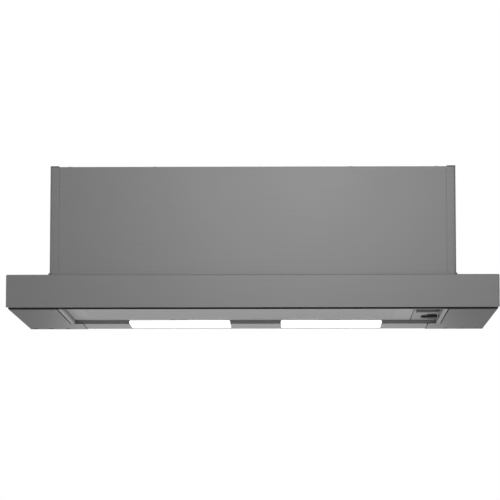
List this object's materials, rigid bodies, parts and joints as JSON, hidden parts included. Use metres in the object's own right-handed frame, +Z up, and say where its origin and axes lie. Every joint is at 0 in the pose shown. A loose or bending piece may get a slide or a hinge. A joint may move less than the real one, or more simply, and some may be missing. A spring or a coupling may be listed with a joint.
{
  "type": "pull-out range hood",
  "caption": "Slim pull-out cooker hood: steel body with round duct collar, side wings, sliding visor with full-width facia, grease filter, lamps and underside controls.",
  "frame": {"origin": "middle of the underside, visor closed, on the plane that the wing plates, visor and lamp panel share", "axes": "+X to the hood's right as the cook sees it, +Y to the wall behind it, +Z up"},
  "size_m": [0.598, 0.3, 0.1931],
  "materials": {
    "brushed_steel": "brushed stainless sheet with a fine horizontal grain",
    "galvanised_steel": "plain zinc-coated sheet",
    "aluminium": "satin aluminium",
    "black_plastic": "fine-grained black moulding",
    "grey_plastic": "satin grey moulding",
    "lamp_diffuser": "opal white diffuser",
    "shaft_steel": "ground bright steel"
  },
  "bodies": {
    "housing": {"body_front": "brushed_steel", "body_rear": "galvanised_steel", "body_side_left": "brushed_steel", "body_side_right": "brushed_steel", "body_top": "galvanised_steel", "flange_cap_left": "black_plastic", "flange_cap_right": "black_plastic", "wing_plate_left": "brushed_steel", "wing_plate_right": "brushed_steel", "wing_cover_left": "brushed_steel", "wing_cover_right": "brushed_steel", "intake_deck": "galvanised_steel", "upper_filter_left": "aluminium", "upper_filter_right": "aluminium", "lamp_panel": "brushed_steel", "lamp_lens_left": "lamp_diffuser", "lamp_lens_right": "lamp_diffuser", "lamp_body_left": "black_plastic", "lamp_body_right": "black_plastic", "runner_outer_left": "galvanised_steel", "runner_outer_right": "galvanised_steel", "scroll_wrap": "galvanised_steel", "scroll_cheek_left": "galvanised_steel", "scroll_cheek_right": "galvanised_steel", "inlet_ring": "black_plastic", "motor_bracket": "galvanised_steel", "motor": "galvanised_steel", "outlet_collar": "black_plastic", "damper_pin": "shaft_steel", "terminal_box": "black_plastic", "terminal_cover": "black_plastic", "cable_gland": "black_plastic", "run_capacitor": "aluminium", "led_driver": "grey_plastic", "reed_switch": "black_plastic"},
    "visor": {"facia": "brushed_steel", "facia_backing": "galvanised_steel", "pull_grip": "black_plastic", "visor_bar_left": "grey_plastic", "visor_bar_right": "grey_plastic", "visor_crossbar_front": "galvanised_steel", "visor_crossbar_rear": "galvanised_steel", "runner_inner_left": "galvanised_steel", "runner_inner_right": "galvanised_steel", "control_plate": "grey_plastic", "switch_box": "black_plastic", "slider_bezel": "black_plastic", "visor_magnet": "shaft_steel"},
    "runner_left": {"runner_middle_left": "galvanised_steel"},
    "runner_right": {"runner_middle_right": "galvanised_steel"},
    "filter": {"filter_frame": "aluminium", "filter_mesh": "aluminium"},
    "latch_left": {"filter_latch_left": "aluminium"},
    "latch_right": {"filter_latch_right": "aluminium"},
    "slider": {"speed_slider": "black_plastic"},
    "rocker": {"light_rocker": "black_plastic"},
    "rotor": {"impeller": "galvanised_steel", "motor_shaft": "shaft_steel"},
    "flap_front": {"damper_flap_front": "galvanised_steel"},
    "flap_rear": {"damper_flap_rear": "galvanised_steel"}
  },
  "joints": [
    {"name": "visor_slide", "type": "slide", "parent": "housing", "child": "visor", "axis": [0, -1, 0], "range_m": [0, 0.165]},
    {"name": "runner_left_slide", "type": "slide", "parent": "housing", "child": "runner_left", "axis": [0, -1, 0], "range_m": [0, 0.0825]},
    {"name": "runner_right_slide", "type": "slide", "parent": "housing", "child": "runner_right", "axis": [0, -1, 0], "range_m": [0, 0.0825]},
    {"name": "filter_hinge", "type": "hinge", "parent": "visor", "child": "filter", "pos_m": [0, -0.1194, 0.0046], "axis": [-1, 0, 0], "range_deg": [0, 60]},
    {"name": "latch_left_slide", "type": "slide", "parent": "filter", "child": "latch_left", "axis": [0, -1, 0], "range_m": [0, 0.004], "stiffness_N_per_m": 400},
    {"name": "latch_right_slide", "type": "slide", "parent": "filter", "child": "latch_right", "axis": [0, -1, 0], "range_m": [0, 0.004], "stiffness_N_per_m": 400},
    {"name": "speed_slide", "type": "slide", "parent": "visor", "child": "slider", "axis": [-1, 0, 0], "range_m": [0, 0.009]},
    {"name": "light_rock", "type": "hinge", "parent": "visor", "child": "rocker", "pos_m": [0.2165, -0.06, 0.0056], "axis": [1, 0, 0], "range_deg": [-4, 4]},
    {"name": "blower_spin", "type": "hinge", "parent": "housing", "child": "rotor", "pos_m": [0, 0.037, 0.106], "axis": [1, 0, 0], "continuous": true},
    {"name": "flap_rear_hinge", "type": "hinge", "parent": "housing", "child": "flap_rear", "pos_m": [0, 0.068, 0.1851], "axis": [1, 0, 0], "range_deg": [0, 75]},
    {"name": "flap_front_hinge", "type": "hinge", "parent": "housing", "child": "flap_front", "pos_m": [0, 0.068, 0.1851], "axis": [-1, 0, 0], "range_deg": [0, 75]}
  ],
  "couplings": [
    {"joint": "runner_left_slide", "follows": "visor_slide", "ratio": 0.5},
    {"joint": "runner_right_slide", "follows": "visor_slide", "ratio": 0.5}
  ]
}
